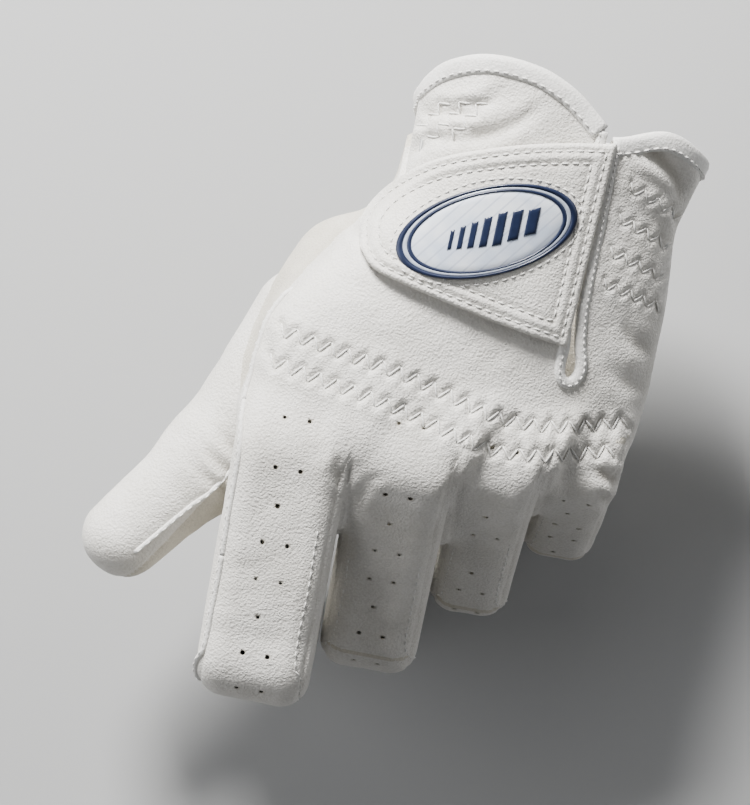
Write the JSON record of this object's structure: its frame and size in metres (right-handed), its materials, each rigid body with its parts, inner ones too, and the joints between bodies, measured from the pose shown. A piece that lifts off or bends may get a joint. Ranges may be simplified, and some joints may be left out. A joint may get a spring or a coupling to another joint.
{
  "type": "golf glove",
  "caption": "Left-hand leather golf glove in its gripping shape, with bending fingers, swinging thumb and a hook-and-loop tab closing the back.",
  "frame": {"origin": "centre of the wrist opening", "axes": "+Y from the wrist to the fingers, +Z out of the back of the hand, +X to the thumb side"},
  "size_m": [0.1177, 0.139, 0.0817],
  "materials": {
    "leather": "soft matt cabretta leather, fine grain",
    "palm_leather": "soft matt leather, fine grain",
    "binding": "smooth folded leather",
    "loop_pile": "brushed loop pile",
    "hook_strip": "hook tape",
    "badge": "moulded, glossy",
    "badge_rim": "moulded, glossy rim",
    "elastic": "knitted elastic",
    "thread": "polyester sewing thread"
  },
  "bodies": {
    "hand": {"back_panel": "leather", "palm_panel": "palm_leather", "cuff_binding": "binding", "slit_binding": "binding", "loop_patch": "loop_pile", "wrist_elastic": "elastic", "knuckle_elastic": "elastic"},
    "tab": {"closure_tab": "leather", "hook_patch": "hook_strip", "badge_face": "badge", "badge_rim": "badge_rim"},
    "thumb": {"thumb_outer": "leather", "thumb_palm": "palm_leather"},
    "index_base": {"index_base_back": "leather", "index_base_palm": "palm_leather", "index_base_sides": "leather"},
    "index_end": {"index_end_back": "leather", "index_end_palm": "palm_leather", "index_end_sides": "leather"},
    "middle_base": {"middle_base_back": "leather", "middle_base_palm": "palm_leather", "middle_base_sides": "leather"},
    "middle_end": {"middle_end_back": "leather", "middle_end_palm": "palm_leather", "middle_end_sides": "leather"},
    "ring_base": {"ring_base_back": "leather", "ring_base_palm": "palm_leather", "ring_base_sides": "leather"},
    "ring_end": {"ring_end_back": "leather", "ring_end_palm": "palm_leather", "ring_end_sides": "leather"},
    "little_base": {"little_base_back": "leather", "little_base_palm": "palm_leather", "little_base_sides": "leather"},
    "little_end": {"little_end_back": "leather", "little_end_palm": "palm_leather", "little_end_sides": "leather"}
  },
  "joints": [
    {"name": "tab_peel", "type": "hinge", "parent": "hand", "child": "tab", "pos_m": [-0.0105, 0.0005, 0.0193], "axis": [0, -0.9837, 0.1799], "range_deg": [0, 140]},
    {"name": "thumb_swing", "type": "hinge", "parent": "hand", "child": "thumb", "pos_m": [0.046, 0.044, -0.017], "axis": [0, 0, -1], "range_deg": [0, 12]},
    {"name": "index_knuckle", "type": "hinge", "parent": "hand", "child": "index_base", "pos_m": [0.0432, 0.071, 0.001], "axis": [1, 0, 0], "range_deg": [0, 22]},
    {"name": "index_middle_joint", "type": "hinge", "parent": "index_base", "child": "index_end", "pos_m": [0.0432, 0.11502, -0.00836], "axis": [1, 0, 0], "range_deg": [0, 70]},
    {"name": "middle_knuckle", "type": "hinge", "parent": "hand", "child": "middle_base", "pos_m": [0.0202, 0.0685, 0], "axis": [1, 0, 0], "range_deg": [0, 45]},
    {"name": "middle_middle_joint", "type": "hinge", "parent": "middle_base", "child": "middle_end", "pos_m": [0.0202, 0.10593, -0.02924], "axis": [1, 0, 0], "range_deg": [0, 80]},
    {"name": "ring_knuckle", "type": "hinge", "parent": "hand", "child": "ring_base", "pos_m": [0.0001, 0.066, -0.004], "axis": [1, 0, 0], "range_deg": [0, 58]},
    {"name": "ring_middle_joint", "type": "hinge", "parent": "ring_base", "child": "ring_end", "pos_m": [0.0001, 0.09124, -0.04004], "axis": [1, 0, 0], "range_deg": [0, 85]},
    {"name": "little_knuckle", "type": "hinge", "parent": "hand", "child": "little_base", "pos_m": [-0.0175, 0.062, -0.0095], "axis": [1, 0, 0], "range_deg": [0, 66]},
    {"name": "little_middle_joint", "type": "hinge", "parent": "little_base", "child": "little_end", "pos_m": [-0.0175, 0.07624, -0.04147], "axis": [1, 0, 0], "range_deg": [0, 85]}
  ]
}
